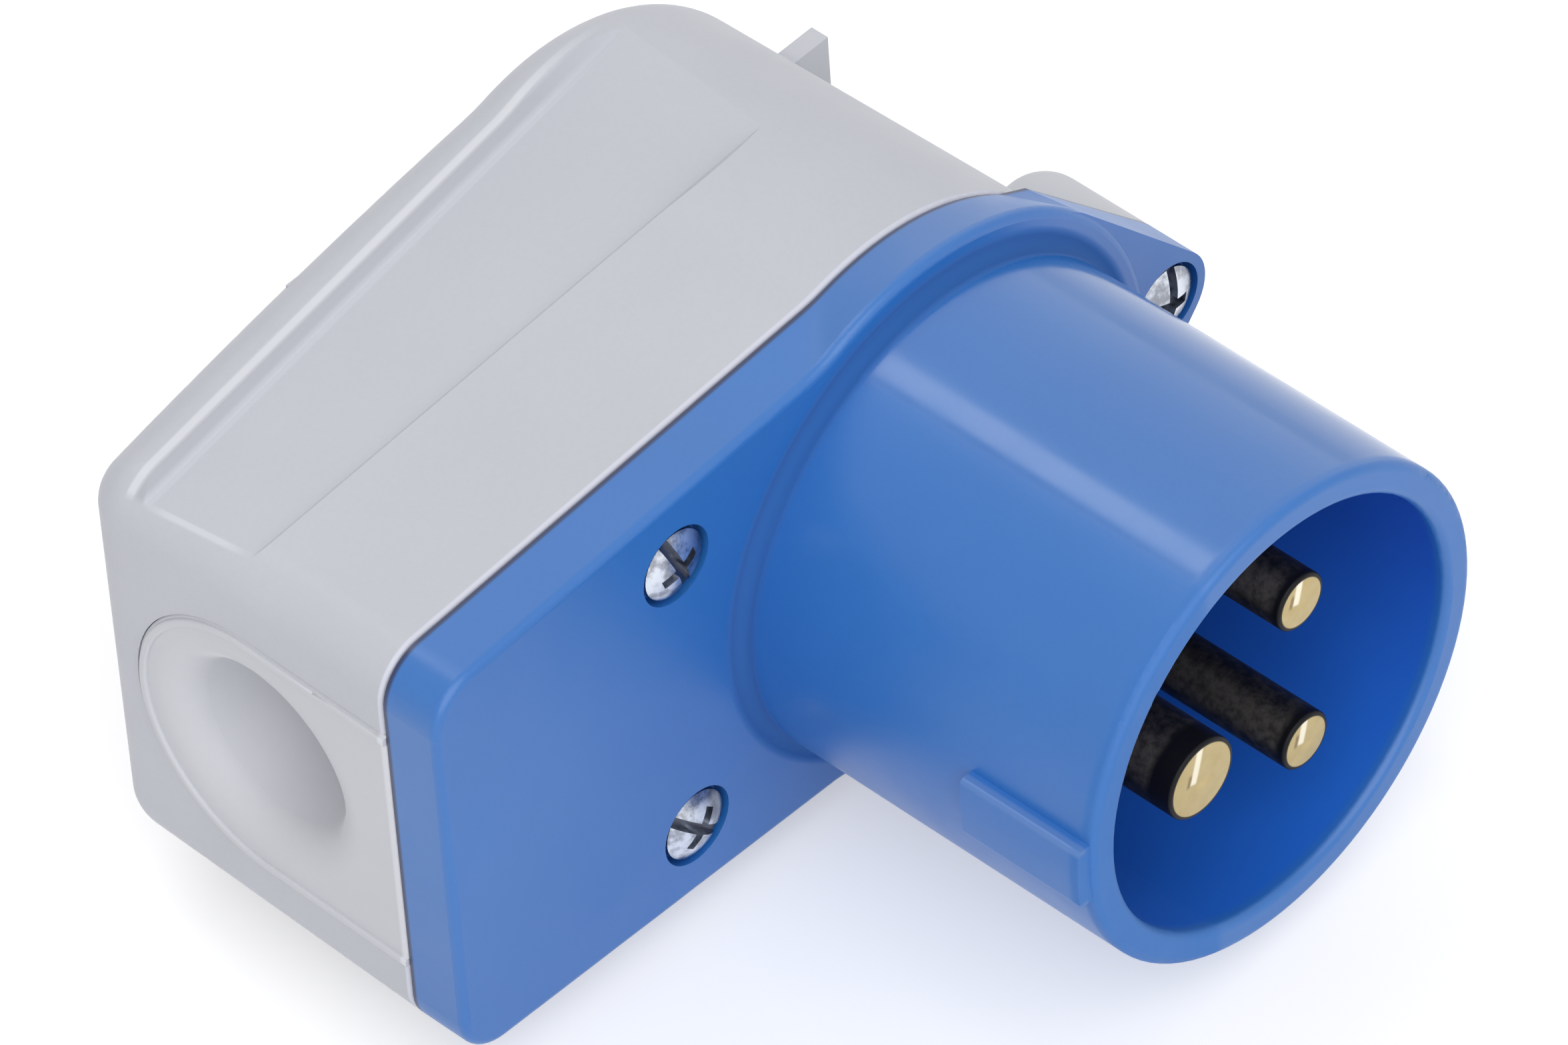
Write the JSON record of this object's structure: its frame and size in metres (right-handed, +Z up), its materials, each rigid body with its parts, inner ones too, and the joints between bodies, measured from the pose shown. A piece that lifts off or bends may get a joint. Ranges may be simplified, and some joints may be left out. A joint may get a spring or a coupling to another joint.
{
  "type": "angled industrial plug",
  "caption": "Angled industrial plug: a round collar with round pins stands at a right angle to the cable, on a plate screwed to a hollow housing.",
  "frame": {"origin": "centre of the collar's mouth, on the plug axis", "axes": "-Y along the pins, towards the socket; -X along the cable, away from the plug; +Z up, across both"},
  "size_m": [0.0834, 0.0766, 0.048],
  "materials": {
    "blue_plastic": "satin, finely grained",
    "grey_plastic": "fine spark-eroded grain",
    "grommet_rubber": "matt, smooth",
    "carrier_plastic": "matt",
    "contact_brass": "turned, bright tip and dark tarnished shaft",
    "zinc_steel": "bright zinc plate",
    "clamp_plastic": "matt"
  },
  "bodies": {
    "root": {"front_body": "blue_plastic", "rear_housing": "grey_plastic", "cable_grommet": "grommet_rubber", "contact_carrier": "carrier_plastic", "earth_pin": "contact_brass", "line_pin": "contact_brass", "neutral_pin": "contact_brass", "terminal_screws": "zinc_steel", "housing_screws": "zinc_steel", "cable_clamp": "clamp_plastic", "clamp_screws": "zinc_steel"}
  },
  "joints": []
}
